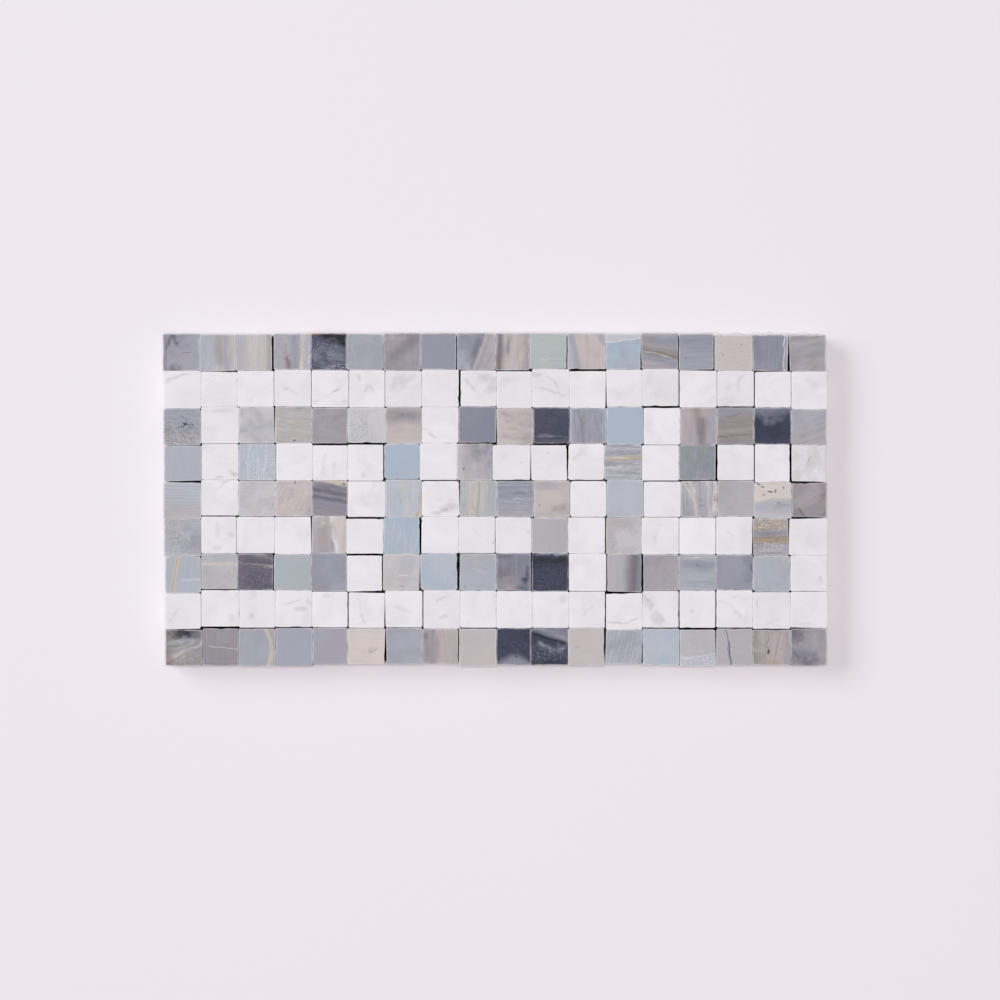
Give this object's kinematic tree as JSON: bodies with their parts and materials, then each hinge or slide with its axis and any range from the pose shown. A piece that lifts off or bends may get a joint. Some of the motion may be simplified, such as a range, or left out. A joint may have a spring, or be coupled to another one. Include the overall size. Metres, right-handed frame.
{
  "type": "marble border tile",
  "caption": "Rectangular mosaic border tile of square marble chips on a net, with a key pattern of grey and blue stone in white, for running along a wall or floor.",
  "frame": {"origin": "middle of the back, on the surface that the tile lies on", "axes": "+X along the border, +Y across it towards the picture's top, +Z out of the face"},
  "size_m": [0.2764, 0.1388, 0.0106],
  "materials": {
    "white_chips": "honed and tumbled marble",
    "sky_blue_chips": "honed and tumbled marble",
    "silver_sage_chips": "honed and tumbled marble",
    "slate_blue_chips": "honed and tumbled marble",
    "lilac_grey_chips": "honed and tumbled marble",
    "taupe_chips": "honed and tumbled marble",
    "cream_chips": "honed and tumbled marble",
    "ochre_banded_chips": "honed and tumbled marble",
    "plum_chips": "honed and tumbled marble",
    "charcoal_chips": "honed and tumbled marble",
    "net": "coated glass fibre mesh"
  },
  "bodies": {
    "root": {"white_chips": "white_chips", "sky_blue_chips": "sky_blue_chips", "silver_sage_chips": "silver_sage_chips", "slate_blue_chips": "slate_blue_chips", "lilac_grey_chips": "lilac_grey_chips", "taupe_chips": "taupe_chips", "cream_chips": "cream_chips", "ochre_banded_chips": "ochre_banded_chips", "plum_chips": "plum_chips", "charcoal_chips": "charcoal_chips", "net_long_threads": "net", "net_cross_threads": "net"}
  },
  "joints": []
}
